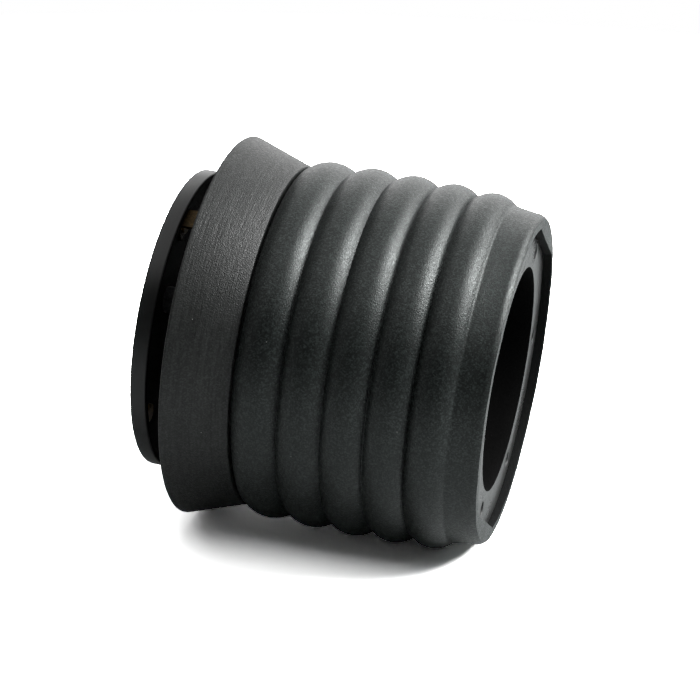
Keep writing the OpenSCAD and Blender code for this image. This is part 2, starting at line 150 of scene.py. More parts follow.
def spun(profile: list[Point], steps: int, closed: bool = True) -> Mesh:
    """Spins a half profile round the hub's axis.

    Args:
        profile: (x, r) points in millimetres.
        steps: number of sectors.
        closed: whether the last point joins the first; otherwise both lie on the axis.

    Returns:
        A closed mesh in metres, its faces outwards.
    """
    bm = bmesh.new()
    line = [bm.verts.new((x * MM, 0.0, r * MM)) for x, r in profile]
    ends = line[1:] + line[:1] if closed else line[1:]
    edges = [bm.edges.new(pair) for pair in zip(line, ends)]
    bmesh.ops.spin(
        bm, geom=line + edges, cent=(0, 0, 0), axis=(1, 0, 0), dvec=(0, 0, 0),
        angle=math.tau, steps=steps, use_merge=True,
    )
    bmesh.ops.remove_doubles(bm, verts=bm.verts, dist=SEAM)
    bmesh.ops.recalc_face_normals(bm, faces=bm.faces)
    return bm


def add_loop(bm: Mesh, radius: float, segments: int, angle: float = 0.0, off: float = 0.0) -> None:
    """Adds one open circle in the plane of the wheel face.

    Args:
        bm: the mesh it goes into.
        radius: its radius in millimetres.
        segments: its number of edges.
        angle: where its centre lies round the hub, in degrees.
        off: how far its centre lies from the hub's axis, in millimetres.
    """
    place = Matrix.Translation(radial(angle) * off * MM)
    bmesh.ops.create_circle(
        bm, cap_ends=False, radius=radius * MM, segments=segments,
        matrix=place @ Matrix.Rotation(math.pi / 2, 4, "Y"),
    )


def plate_from_loops(bm: Mesh, thickness: float, edge: float) -> None:
    """Fills the loops in a mesh, thickens the sheet towards -X and breaks its edges.

    Args:
        bm: mesh that holds only the outline and the outlines of its holes.
        thickness: in millimetres.
        edge: width of the broken edge in millimetres.
    """
    bmesh.ops.triangle_fill(bm, use_beauty=True, use_dissolve=False, edges=bm.edges, normal=(1, 0, 0))
    grown = bmesh.ops.extrude_face_region(bm, geom=list(bm.faces))
    fresh = [item for item in grown["geom"] if isinstance(item, bmesh.types.BMVert)]
    bmesh.ops.translate(bm, vec=(-thickness * MM, 0, 0), verts=fresh)
    bmesh.ops.recalc_face_normals(bm, faces=bm.faces)
    sharp = [e for e in bm.edges if len(e.link_faces) == 2 and e.calc_face_angle() > BROKEN_ABOVE]
    bmesh.ops.bevel(
        bm, geom=sharp, offset=edge * MM, segments=2, profile=0.5, affect="EDGES",
        material=-1, clamp_overlap=True,
    )


def scene_object(name: str, bm: Mesh) -> bpy.types.Object:
    """Puts a mesh into the scene.

    Args:
        name: name of the object and its mesh.
        bm: the mesh, which is freed.

    Returns:
        The new object.
    """
    mesh = bpy.data.meshes.new(name)
    bm.to_mesh(mesh)
    bm.free()
    obj = bpy.data.objects.new(name, mesh)
    bpy.context.scene.collection.objects.link(obj)
    return obj


def carved(bm: Mesh, tool: Mesh) -> Mesh:
    """Cuts one closed mesh out of another.

    Args:
        bm: the mesh that is cut, which is freed.
        tool: the cutter, which is freed.

    Returns:
        The cut mesh.
    """
    blank = scene_object("blank", bm)
    cutter = scene_object("cutter", tool)
    step = blank.modifiers.new("cut", "BOOLEAN")
    step.operation = "DIFFERENCE"
    step.solver = "EXACT"
    step.object = cutter
    result = bpy.data.meshes.new_from_object(blank.evaluated_get(bpy.context.evaluated_depsgraph_get()))
    left = bmesh.new()
    left.from_mesh(result)
    bmesh.ops.remove_doubles(left, verts=left.verts, dist=CUT_SEAM)
    bmesh.ops.dissolve_degenerate(left, edges=left.edges, dist=CUT_SEAM)
    for mesh in (result, blank.data, cutter.data):
        bpy.data.meshes.remove(mesh)
    return left


def drilled(bm: Mesh, angles: list[float], off: float, outline: list[Point]) -> Mesh:
    """Cuts round holes along the hub.

    Args:
        bm: the mesh that is cut, which is freed.
        angles: where the holes lie round the hub, in degrees.
        off: how far they lie from the hub's axis, in millimetres.
        outline: the cutter's half profile as (x, r) points, from end to end.

    Returns:
        The drilled mesh.
    """
    back, front = outline[0][0], outline[-1][0]
    for angle in angles:
        tool = spun([(back, 0.0), *outline, (front, 0.0)], HOLE_STEPS, closed=False)
        bmesh.ops.translate(tool, vec=radial(angle) * off * MM, verts=tool.verts)
        bm = carved(bm, tool)
    return bm


def mark_painted_shade(bm: Mesh, reach: float, front: bool = False) -> None:
    """Gives the second material, a painted shade, to the faces that look at the hub's axis.

    Args:
        bm: the mesh.
        reach: radius in millimetres that the faces lie within.
        front: whether the faces that look forwards get it too.
    """
    for face in bm.faces:
        face.normal_update()
        middle = face.calc_center_median()
        outward = Vector((0.0, middle.y, middle.z))
        inward = face.normal.dot(outward.normalized()) < -FACING
        forward = front and face.normal.x > FACING
        if (inward or forward) and outward.length < reach * MM:
            face.material_index = 1


# ---------------------------------------------------------------- shader helpers


class Nodes:
    """Adds and joins shader nodes in one tree."""

    def __init__(self, tree: bpy.types.NodeTree) -> None:
        """Starts on a tree."""
        self.tree = tree

    def add(self, kind: str, **values: object) -> bpy.types.Node:
        """Adds a node.

        Args:
            kind: the node's type name.
            values: input values or the sockets that feed them, where the name is an input's in
                lower case, and otherwise attributes.

        Returns:
            The node.
        """
        node = self.tree.nodes.new(kind)
        inputs = {s.name.lower().replace(" ", "_"): s for s in reversed(node.inputs)}
        for key, value in values.items():
            if key in inputs:
                self.feed(inputs[key], value)
            else:
                setattr(node, key, value)
        return node

    def feed(self, socket: Socket, value: object) -> None:
        """Gives an input a value, or a link where the value is a socket.

        Args:
            socket: the input.
            value: a number, a vector, a colour or an output socket.
        """
        if isinstance(value, bpy.types.NodeSocket):
            self.tree.links.new(value, socket)
        else:
            socket.default_value = value

    def math(self, operation: str, first: float | Socket, second: float | Socket = 0.0) -> Socket:
        """Joins two numbers or sockets by a math node.

        Args:
            operation: the node's operation.
            first: its first value.
            second: its second value.

        Returns:
            The result.
        """
        node = self.tree.nodes.new("ShaderNodeMath")
        node.operation = operation
        self.feed(node.inputs[0], first)
        self.feed(node.inputs[1], second)
        return node.outputs[0]

    def rise(self, value: Socket, low: float, high: float) -> Socket:
        """Maps a value to a mask that rises from 0 to 1.

        Args:
            value: the value.
            low: where the mask is still 0.
            high: where it has reached 1.

        Returns:
            The mask.
        """
        node = self.add("ShaderNodeMapRange", value=value, from_min=low, from_max=high)
        return node.outputs["Result"]

    def mix(self, mask: Socket, low: Triple | Socket, high: Triple) -> Socket:
        """Mixes two colours by a mask.

        Args:
            mask: 0 where the first colour shows and 1 where the second does.
            low: a colour, or a socket that carries one.
            high: a colour.

        Returns:
            The mixed colour.
        """
        node = self.tree.nodes.new("ShaderNodeMix")
        node.data_type = "RGBA"
        factor, first, second = (
            next(s for s in node.inputs if s.identifier == name)
            for name in ("Factor_Float", "A_Color", "B_Color")
        )
        self.feed(factor, mask)
        self.feed(first, low if isinstance(low, bpy.types.NodeSocket) else (*low, 1.0))
        self.feed(second, (*high, 1.0))
        return next(s for s in node.outputs if s.identifier == "Result_Color")


class Effect(Enum):
    """Shared surface effects, each a shader node group."""

    GRAIN = "fine_grain"
    TURNED = "turned_lines"
    DUST = "dust_specks"
    SMUDGE = "handling_smudge"


class EffectNodes(Nodes):
    """Adds and joins the nodes of one shared effect, which reads Object coordinates."""

    def __init__(self, effect: Effect, inputs: dict[str, float], outputs: tuple[str, ...]) -> None:
        """Starts the group.

        Args:
            effect: which effect it is.
            inputs: float inputs with their default values.
            outputs: names of its float outputs.
        """
        super().__init__(bpy.data.node_groups.new(effect.value, "ShaderNodeTree"))
        sockets = self.tree.interface
        for name, value in inputs.items():
            made = sockets.new_socket(name, in_out="INPUT", socket_type="NodeSocketFloat")
            made.default_value = value
        for name in outputs:
            sockets.new_socket(name, in_out="OUTPUT", socket_type="NodeSocketFloat")
        self.given = self.add("NodeGroupInput").outputs
        self.results = self.add("NodeGroupOutput").inputs
        self.place = self.add("ShaderNodeTexCoord").outputs["Object"]

    def cells(self, place: Socket) -> tuple[Socket, Socket]:
        """Adds a pattern of cells at the group's scale.

        Args:
            place: the coordinates.

        Returns:
            The distance to the nearest cell's middle, and a random number of that cell.
        """
        node = self.add("ShaderNodeTexVoronoi", feature="F1", vector=place, scale=self.given["Scale"])
        each = self.add("ShaderNodeSeparateColor", color=node.outputs["Color"])
        return node.outputs["Distance"], each.outputs[0]


def grain_group() -> bpy.types.NodeTree:
    """Builds the fine moulded grain: a height, and a mask of its crowns.

    Returns:
        The group.
    """
    cell_pit, crowns_from = -0.3, 0.45
    n = EffectNodes(Effect.GRAIN, {"Scale": 2600.0}, ("Height", "Crowns"))
    fine = n.add("ShaderNodeTexNoise", vector=n.place, scale=n.given["Scale"], detail=2.0, roughness=0.6)
    distance, each = n.cells(n.place)
    height = n.math("ADD", fine.outputs["Fac"], n.math("MULTIPLY", distance, cell_pit))
    n.feed(n.results["Height"], height)
    n.feed(n.results["Crowns"], n.rise(each, crowns_from, 1.0))
    return n.tree


def turned_group() -> bpy.types.NodeTree:
    """Builds lathe lines that run round the hub: a height, and a streak mask.

    Returns:
        The group.
    """
    streaks_from, streaks_full = 0.35, 0.72
    n = EffectNodes(Effect.TURNED, {"Scale": 2400.0, "Along": 0.03}, ("Height", "Streaks"))
    x, y, z = n.add("ShaderNodeSeparateXYZ", vector=n.place).outputs
    reach = n.math("SQRT", n.math("ADD", n.math("MULTIPLY", y, y), n.math("MULTIPLY", z, z)))
    drawn_out = n.add(
        "ShaderNodeCombineXYZ",
        x=n.math("ADD", x, reach),
        y=n.math("MULTIPLY", y, n.given["Along"]),
        z=n.math("MULTIPLY", z, n.given["Along"]),
    )
    noise = n.add(
        "ShaderNodeTexNoise", vector=drawn_out.outputs[0], scale=n.given["Scale"],
        detail=3.0, roughness=0.65,
    )
    lines = noise.outputs["Fac"]
    n.feed(n.results["Height"], lines)
    n.feed(n.results["Streaks"], n.rise(lines, streaks_from, streaks_full))
    return n.tree


def dust_group() -> bpy.types.NodeTree:
    """Builds sparse specks of dust and lint: a mask that is 1 on a speck.

    Returns:
        The group.
    """
    slant, stretch, thinness = (0.9, 0.5, 0.3), (1.0, 0.12, 1.0), 0.45
    n = EffectNodes(Effect.DUST, {"Scale": 420.0, "Size": 0.05, "Share": 0.12}, ("Mask",))
    slanted = n.add("ShaderNodeMapping", vector=n.place, rotation=slant, scale=stretch)
    thin = n.math("MULTIPLY", n.given["Size"], thinness)
    marks = []
    for place, size in ((n.place, n.given["Size"]), (slanted.outputs[0], thin)):
        distance, each = n.cells(place)
        near = n.math("LESS_THAN", distance, size)
        chosen = n.math("LESS_THAN", each, n.given["Share"])
        marks.append(n.math("MULTIPLY", near, chosen))
    n.feed(n.results["Mask"], n.math("MAXIMUM", *marks))
    return n.tree


def smudge_group() -> bpy.types.NodeTree:
    """Builds broad soft patches of handling: a mask from 0 to 1.

    Returns:
        The group.
    """
    patches_from, patches_full = 0.35, 0.7
    n = EffectNodes(Effect.SMUDGE, {"Scale": 45.0}, ("Mask",))
    broad = n.add(
        "ShaderNodeTexNoise", vector=n.place, scale=n.given["Scale"],
        detail=4.0, roughness=0.55, distortion=0.6,
    )
    n.feed(n.results["Mask"], n.rise(broad.outputs["Fac"], patches_from, patches_full))
    return n.tree


MAKERS: dict[Effect, Callable[[], bpy.types.NodeTree]] = {
    Effect.GRAIN: grain_group,
    Effect.TURNED: turned_group,
    Effect.DUST: dust_group,
    Effect.SMUDGE: smudge_group,
}


def placed(n: Nodes, effect: Effect, **values: float) -> dict[str, Socket]:
    """Places a shared effect in a material.

    Args:
        n: the material's nodes.
        effect: which effect.
        values: its input values, by lower-case name.

    Returns:
        Its outputs by name.
    """
    tree = bpy.data.node_groups.get(effect.value) or MAKERS[effect]()
    node = n.tree.nodes.new("ShaderNodeGroup")
    node.node_tree = tree
    for key, value in values.items():
        node.inputs[key.capitalize()].default_value = value
    return {socket.name: socket for socket in node.outputs}


# ---------------------------------------------------------------- finishes

DUST_GREY = (0.3, 0.31, 0.3)
SMUDGE_TONE = 0.4  # how far a full smudge, crown or streak takes the colour to the worn one
CROWN_TONE = 0.8
STREAK_TONE = 0.5


@dataclass(frozen=True)
class Finish:
    """One finish: its colours, gloss and fine texture.

    Attributes:
        name: name of the material.
        colour: colour of the ground.
        worn: colour that crowns, streaks and smudges tend to.
        roughness: mean roughness.
        spread: how far the smudges take the roughness down and up.
        metallic: 1 for bare metal.
        specular: strength of a non-metal's gloss.
        tint: colour of that gloss.
        grain: strength of the moulded grain, up to 1.
        lines: strength of the turned lines, 0 for none.
        grain_scale: how fine the grain is.
        line_scale: how fine the lines are.
        relief: depth of the texture in millimetres.
        dust: share of the cells that hold a speck, 0 for none.
        smudge: strength of the smudges in colour.
        glint: how much less rough the crowns are.
    """

    name: str
    colour: Triple
    worn: Triple
    roughness: float
    spread: float = 0.06
    metallic: float = 0.0
    specular: float = 0.5
    tint: Triple = (1.0, 1.0, 1.0)
    grain: float = 1.0
    lines: float = 0.0
    grain_scale: float = 2600.0
    line_scale: float = 2400.0
    relief: float = 0.03
    dust: float = 0.0
    smudge: float = 0.5
    glint: float = 0.03

    def build(self) -> bpy.types.Material:
        """Makes the material, once for each finish.

        Returns:
            The material.
        """
        known = bpy.data.materials.get(self.name)
        if known:
            return known
        material = bpy.data.materials.new(self.name)
        material.use_nodes = True
        n = Nodes(material.node_tree)
        shader = material.node_tree.nodes["Principled BSDF"]
        shader.inputs["Metallic"].default_value = self.metallic
        shader.inputs["Specular IOR Level"].default_value = self.specular
        shader.inputs["Specular Tint"].default_value = (*self.tint, 1.0)
        smudge = placed(n, Effect.SMUDGE)["Mask"]
        height, tone, crowns = self.texture(n)
        tone = n.math("ADD", tone, n.math("MULTIPLY", smudge, SMUDGE_TONE * self.smudge))
        colour = n.mix(tone, self.colour, self.worn)
        rough = n.math("ADD", self.roughness - self.spread, n.math("MULTIPLY", smudge, 2 * self.spread))
        rough = n.math("SUBTRACT", rough, n.math("MULTIPLY", crowns, self.glint))
        if self.dust > 0.0:
            specks = placed(n, Effect.DUST, share=self.dust)["Mask"]
            colour = n.mix(specks, colour, DUST_GREY)
            rough = n.math("MAXIMUM", rough, specks)
        bump = n.add("ShaderNodeBump", distance=self.relief * MM, height=height)
        n.feed(shader.inputs["Base Color"], colour)
        n.feed(shader.inputs["Roughness"], rough)
        n.feed(shader.inputs["Normal"], bump.outputs[0])
        return material

    def texture(self, n: Nodes) -> tuple[Socket, Socket, Socket]:
        """Adds the fine texture.

        Args:
            n: the material's nodes.

        Returns:
            Its height, its tone from 0 up, and the mask of its crowns.
        """
        grain = placed(n, Effect.GRAIN, scale=self.grain_scale)
        height = n.math("MULTIPLY", grain["Height"], self.grain)
        tone = n.math("MULTIPLY", grain["Crowns"], CROWN_TONE * self.grain)
        if self.lines > 0.0:
            turned = placed(n, Effect.TURNED, scale=self.line_scale)
            height = n.math("ADD", height, n.math("MULTIPLY", turned["Height"], self.lines))
            tone = n.math("ADD", tone, n.math("MULTIPLY", turned["Streaks"], STREAK_TONE * self.lines))
        return height, tone, grain["Crowns"]


RUBBER = Finish(
    "shroud_satin_rubber", (0.0006, 0.0014, 0.0012), (0.033, 0.0405, 0.0385), 0.41,
    spread=0.01, specular=0.48, tint=(0.95, 1.0, 0.985), grain_scale=2900.0, relief=0.08,
    dust=0.12, smudge=0.2, glint=0.13,
)
# Painted shade: a near-black, dull rubber for the shroud's inward faces, the lip's inner wall among
# them.
PAINTED_SHADE_RUBBER = Finish(
    "shroud_bare_rubber", (0.002, 0.0024, 0.0024), (0.005, 0.0055, 0.0055), 0.7,
    specular=0.12, grain_scale=3000.0, relief=0.05,
)
SKIRT_BLACK = Finish(
    "skirt_turned_black", (0.0006, 0.0012, 0.001), (0.024, 0.0265, 0.0253), 0.48,
    spread=0.02, specular=0.48, grain=0.9, lines=1.0, grain_scale=2900.0, relief=0.13,
    dust=0.06, glint=0.14,
)
PLATE_BLACK = Finish(
    "plate_satin_black", (0.03, 0.0314, 0.031), (0.052, 0.0537, 0.053), 0.32,
    specular=0.8, grain_scale=3200.0, relief=0.05,
)
# Painted shade: a near-black, barely glossy finish for inward faces, the gap and the crush tube, where
# shade falls.
PAINTED_SHADE_BLACK = Finish(
    "inner_matte_black", (0.001, 0.001, 0.001), (0.002, 0.002, 0.002), 0.8,
    specular=0.06, relief=0.05,
)
CARRIER_BLACK = Finish(
    "carrier_satin_plastic", (0.004, 0.0045, 0.0045), (0.009, 0.0098, 0.0096), 0.4,
    grain=0.4, lines=0.4, line_scale=1500.0, relief=0.04,
)
CAST_ALLOY = Finish(
    "boss_alloy", (0.4, 0.41, 0.42), (0.7, 0.71, 0.72), 0.4,
    metallic=1.0, grain=0.4, lines=1.0, line_scale=1500.0, relief=0.05,
)
STEEL = Finish(
    "broached_steel", (0.36, 0.36, 0.37), (0.52, 0.52, 0.53), 0.3,
    metallic=1.0, lines=0.6, relief=0.012,
)
ZINC = Finish(
    "zinc_plate", (0.52, 0.53, 0.55), (0.66, 0.67, 0.69), 0.32,
    metallic=1.0, relief=0.008,
)
YELLOW_ZINC = Finish(
    "yellow_zinc_plate", (0.5, 0.38, 0.16), (0.62, 0.54, 0.34), 0.34,
    metallic=1.0, relief=0.008,
)
BLACK_OXIDE = Finish(
    "black_oxide", (0.03, 0.03, 0.032), (0.06, 0.06, 0.062), 0.36,
    metallic=0.6, relief=0.01,
)
BRASS = Finish(
    "contact_brass", (0.5, 0.31, 0.09), (0.78, 0.58, 0.27), 0.26,
    spread=0.1, metallic=1.0, grain=0.5, lines=1.0, line_scale=2000.0, smudge=1.0,
)
# Dull brass, darkened further as painted shade of the gap the rivets sit in.
BRASS_DULL_PAINTED_SHADE = Finish(
    "dull_brass", (0.09, 0.06, 0.025), (0.2, 0.13, 0.055), 0.45,
    metallic=1.0, relief=0.01,
)
# Painted shade: brass darkened to brown so that the horn terminal reads as shaded in the gap.
BRASS_DARK_PAINTED_SHADE = Finish(
    "browned_brass", (0.03, 0.021, 0.01), (0.07, 0.047, 0.021), 0.48,
    metallic=1.0, relief=0.01,
)
NYLON = Finish(
    "natural_nylon", (0.62, 0.6, 0.53), (0.7, 0.68, 0.62), 0.4,
    grain_scale=1800.0, relief=0.01,
)
SPRING = Finish(
    "blued_spring", (0.1, 0.1, 0.12), (0.2, 0.2, 0.23), 0.3,
    metallic=1.0, relief=0.006,
)
GROMMET = Finish("grommet_rubber", (0.012, 0.012, 0.012), (0.02, 0.02, 0.02), 0.62)


# ---------------------------------------------------------------- sub-assemblies


def add_piece(name: str, bm: Mesh, node: str, outside: Finish, inside: Finish) -> None:
    """Puts a finished piece on the hub in place of its CAD node.

    Args:
        name: the piece's name.
        bm: its mesh, which is freed.
        node: the CAD node that it replaces.
        outside: its finish.
        inside: the painted shade finish of the faces that mark_painted_shade picked.
    """
    for face in bm.faces:
        face.smooth = True
    for edge in bm.edges:
        edge.smooth = len(edge.link_faces) != 2 or edge.calc_face_angle() < SMOOTH_BELOW
    obj = scene_object(name, bm)
    for finish in (outside, inside):
        obj.data.materials.append(finish.build())
    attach(obj, BODY)
    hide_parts(node)
    LOG.info("%s: %d faces", name, len(obj.data.polygons))


@dataclass
class FrontPlate:
    """The double-D plate that carries the steering wheel."""

    radius: float = 40.7
    flats: float = 37.8  # from the axis
    flat_angle: float = 30.0  # of the first flat and the first bolt
    thickness: float = 5.0
    opening_r: float = 30.0
    bolts: int = 6
    bolt_circle_r: float = 35.0
    bolt_hole_r: float = 2.1
    tube_wall: float = 1.6
    tube_seat: float = 1.5  # depth
    edge: float = 0.3
    rim_segments: int = 240
    opening_segments: int = 160
    bolt_segments: int = 28
    throat_r: float = 31.0  # faces within it that look at the axis get the painted shade

    def outline(self) -> Mesh:
        """Draws the outline and the outlines of the opening and the bolt holes.

        Returns:
            A mesh that holds only the loops.
        """
        bm = bmesh.new()
        add_loop(bm, self.radius, self.rim_segments)
        normal = radial(self.flat_angle)
        for v in bm.verts:
            side = v.co.dot(normal)
            beyond = abs(side) - self.flats * MM
            if beyond > 0:
                v.co -= normal * math.copysign(beyond, side)
        bmesh.ops.remove_doubles(bm, verts=bm.verts, dist=TRIMMED_SEAM)
        add_loop(bm, self.opening_r, self.opening_segments)
        for angle in around(self.bolts, self.flat_angle):
            add_loop(bm, self.bolt_hole_r, self.bolt_segments, angle, self.bolt_circle_r)
        return bm

    def build(self) -> None:
        """Thickens the outline and sinks the seat of the tube into its back."""
        bm = self.outline()
        plate_from_loops(bm, self.thickness, self.edge)
        seat_r = self.opening_r + self.tube_wall + METAL_FIT
        seat = [(-self.thickness - PAST, seat_r), (self.tube_seat - self.thickness, seat_r)]
        bm = drilled(bm, [0.0], 0.0, seat)
        # The opening's wall gets painted shade.
        mark_painted_shade(bm, self.throat_r)
        add_piece("wheel_plate", bm, "front_plate", PLATE_BLACK, PAINTED_SHADE_BLACK)


@dataclass
class Shroud:
    """The ribbed rubber shroud with its nose, tilted lip, ledge and spigot.

    The ribs are arcs that stand behind each other from the front, rib 0, to the back. The nose's
    line is given as points in front of the last groove and over nose_back_r. Each break of the
    lip is its station on the blank, how far it lies outside the recess, and how far below the lip.
    """

    plate: FrontPlate
    ribs: int = 5
    pitch: float = 10.35  # width of rib 0
    growth: float = 0.35  # how much wider each rib is than the one before
    crest_d: float = 97.1  # over the fullest rib
    fullest: float = 2.7  # where that would be, counted in ribs
    fall: float = 0.26  # how fast the crests fall away from it
    roundness: float = 0.68  # arc radius over a rib's width
    rib_parts: int = 22
    fillet: float = 0.28  # width of the soft bottom between two ribs
    sink: float = 0.35  # its depth over its width
    wall: float = 2.4
    wall_parts: int = 10
    nose: float = 6.6  # length
    nose_taper: float = 0.95
    nose_line: tuple[Point, ...] = ((0.15, 0.02), (0.6, -0.04), (2.6, -0.45), (4.6, -0.75))
    round_r: float = 3.2  # rounding of the nose into the lip
    round_back: float = 0.4  # how far behind the wheel face its centre lies
    round_parts: int = 10
    lip_wall: float = 3.4
    lip_high: float = 2.6
    lip_low: float = 1.5
    lip_angle: float = 90.0  # where it is highest
    lip_breaks: tuple[Triple, ...] = ((3.0, 0.25, 0.0), (2.9, 0.07, 0.06), (2.6, 0.0, 0.25))
    ripples: tuple[Triple, ...] = ((0.05, 7.0, 1.0), (0.03, 23.0, 0.0))  # size, waves, phase
    ledge: float = 4.35  # how far it stands in behind the plate
    ledge_t: float = 3.0
    flange_r: float = 41.1  # the flange that the spigot sits on
    spigot: float = 14.5  # length
    spigot_wall: float = 2.35
    spigot_break: float = 0.3  # at the foot of the last rib
    band_from: float = 3.0  # the clamp band's groove, from the tail
    band_to: float = 9.0
    band_sunk: float = 0.4

    def __post_init__(self) -> None:
        """Works out the radii and stations that follow from the sizes."""
        self.recess_r = self.plate.radius + SEAT_FIT
        self.recess_flats = self.plate.flats + SEAT_FIT
        self.nose_front_r = self.recess_r + self.lip_wall
        self.nose_back_r = self.nose_front_r + self.nose_taper
        self.round_centre = (-self.round_back, self.nose_front_r - self.round_r)
        self.sleeve_r = self.nose_back_r - self.wall
        self.bore_r = self.flange_r + SEAT_FIT
        self.spigot_r = self.bore_r + self.spigot_wall
        self.band_r = self.spigot_r - self.band_sunk
        self.ribs_back = self.groove(self.ribs)
        self.tail = self.ribs_back - self.spigot

    def width(self, i: int) -> float:
        """Width of rib i."""
        return self.pitch + i * self.growth

    def groove(self, i: int) -> float:
        """Station of the groove in front of rib i."""
        return -self.nose - i * self.pitch - self.growth * i * (i - 1) / 2

    def rib(self, i: int) -> Triple:
        """Sizes of one rib.

        Args:
            i: its number.

        Returns:
            The station of its crest, its arc's radius, and the radius its arc's centre lies at.
        """
        arc_r = self.width(i) * self.roundness
        crest = (self.crest_d - self.fall * (i - self.fullest) ** 2) / 2
        return self.groove(i) - self.width(i) / 2, arc_r, crest - arc_r

    def outer(self) -> list[Point]:
        """Outer profile of the ribs.

        Returns:
            Points from the back of the last rib to the back of the nose.
        """
        points: list[Point] = []
        for i in reversed(range(self.ribs)):
            x, arc_r, centre_r = self.rib(i)
            lean = math.degrees(math.asin((self.width(i) - self.fillet) / 2 / arc_r))
            crest = arc((x, centre_r), arc_r, -lean, lean, self.rib_parts)
            if points:
                foot = (points[-1][1] + crest[0][1]) / 2 - self.fillet * self.sink
                points.append((points[-1][0] + self.fillet / 2, foot))
            points += crest
        return points

    def inner(self) -> list[Point]:
        """Inner profile of the ribs, one wall inside the outer one.

        Returns:
            Points from the front rib to the bore of the spigot.
        """
        points: list[Point] = []
        for i in range(self.ribs):
            x, arc_r, centre_r = self.rib(i)
            hollow = arc_r - self.wall
            end_r = self.sleeve_r if i < self.ribs - 1 else self.bore_r
            start = math.degrees(math.acos((self.sleeve_r - centre_r) / hollow))
            end = math.degrees(math.acos((end_r - centre_r) / hollow))
            points += arc((x, centre_r), hollow, start, -end, self.wall_parts)
        return points

    def profile(self) -> list[Point]:
        """Closed profile with a level lip as high as its highest break.

        Returns:
            Points from the tail over the outside, round the lip and back through the inside.
        """
        band = (self.tail + self.band_from, self.tail + self.band_to)
        seat, behind = -self.plate.thickness, -self.plate.thickness - self.ledge_t
        return [
            (self.tail, self.spigot_r),
            (band[0], self.spigot_r), (band[0], self.band_r),
            (band[1], self.band_r), (band[1], self.spigot_r),
            (self.ribs_back - self.spigot_break, self.spigot_r),
            (self.ribs_back, self.spigot_r + self.spigot_break),
            *self.outer(),
            *((x - self.nose, self.nose_back_r + over) for x, over in self.nose_line),
            *arc(self.round_centre, self.round_r, 0, 90, self.round_parts),
            *((x, self.recess_r + outside) for x, outside, _ in self.lip_breaks),
            (0.0, self.recess_r), (seat, self.recess_r),
            (seat, self.recess_r - self.ledge), (behind, self.recess_r - self.ledge),
            (behind, self.sleeve_r),
            *self.inner(),
            (self.tail, self.bore_r),
        ]

    def lip_height(self, angle: float) -> float:
        """Height of the lip, with the slight waviness of a trimmed edge.

        Args:
            angle: where round the hub, in degrees.

        Returns:
            Its height in front of the wheel face.
        """
        turn = math.radians(angle - self.lip_angle)
        mean, swing = (self.lip_high + self.lip_low) / 2, (self.lip_high - self.lip_low) / 2
        height = mean + swing * math.cos(turn)
        for size, waves, shift in self.ripples:
            height += size * math.sin(math.radians(waves * angle) + shift)
        return height

    def squared(self, angle: float) -> float:
        """How far the double-D recess stands in from its circle.

        Args:
            angle: where round the hub, in degrees.

        Returns:
            The distance, which is 0 away from the flats.
        """
        lean = abs(math.cos(math.radians(angle - self.plate.flat_angle)))
        if self.recess_r * lean <= self.recess_flats:
            return 0.0
        return self.recess_r - self.recess_flats / lean

    def trimmed(self, x: float, r: float, angle: float) -> Point:
        """Moves a point of the spun profile to the tilted lip and the double-D recess.

        Args:
            x: its station.
            r: its radius.
            angle: where it lies round the hub, in degrees.

        Returns:
            Its new station and radius.
        """
        high = self.lip_height(angle)
        centre_x, centre_r = self.round_centre
        if abs(math.hypot(x - centre_x, r - centre_r) - self.round_r) < NEAR:
            share = math.atan2(x - centre_x, r - centre_r) / (math.pi / 2)
            turn = share * math.asin(min(1.0, (high - centre_x) / self.round_r))
            return centre_x + self.round_r * math.sin(turn), centre_r + self.round_r * math.cos(turn)
        for station, outside, below in self.lip_breaks:
            if abs(x - station) < NEAR and abs(r - self.recess_r - outside) < NEAR:
                return high - below, r - self.squared(angle)
        if x > -self.plate.thickness - NEAR and abs(r - self.recess_r) < NEAR:
            return x, r - self.squared(angle)
        return x, r

    def build(self) -> None:
        """Spins the shroud, then trims its lip and squares its recess."""
        bm = spun(self.profile(), SPIN_STEPS)
        for v in bm.verts:
            angle = math.degrees(math.atan2(v.co.y, v.co.z))
            x, r = self.trimmed(v.co.x / MM, math.hypot(v.co.y, v.co.z) / MM, angle)
            v.co = Vector((x, 0, 0)) * MM + radial(angle) * r * MM
        # The faces that look at the axis, the lip's inner wall among them, get painted shade.
        mark_painted_shade(bm, self.crest_d / 2)
        add_piece("ribbed_shroud", bm, "shroud", RUBBER, PAINTED_SHADE_RUBBER)


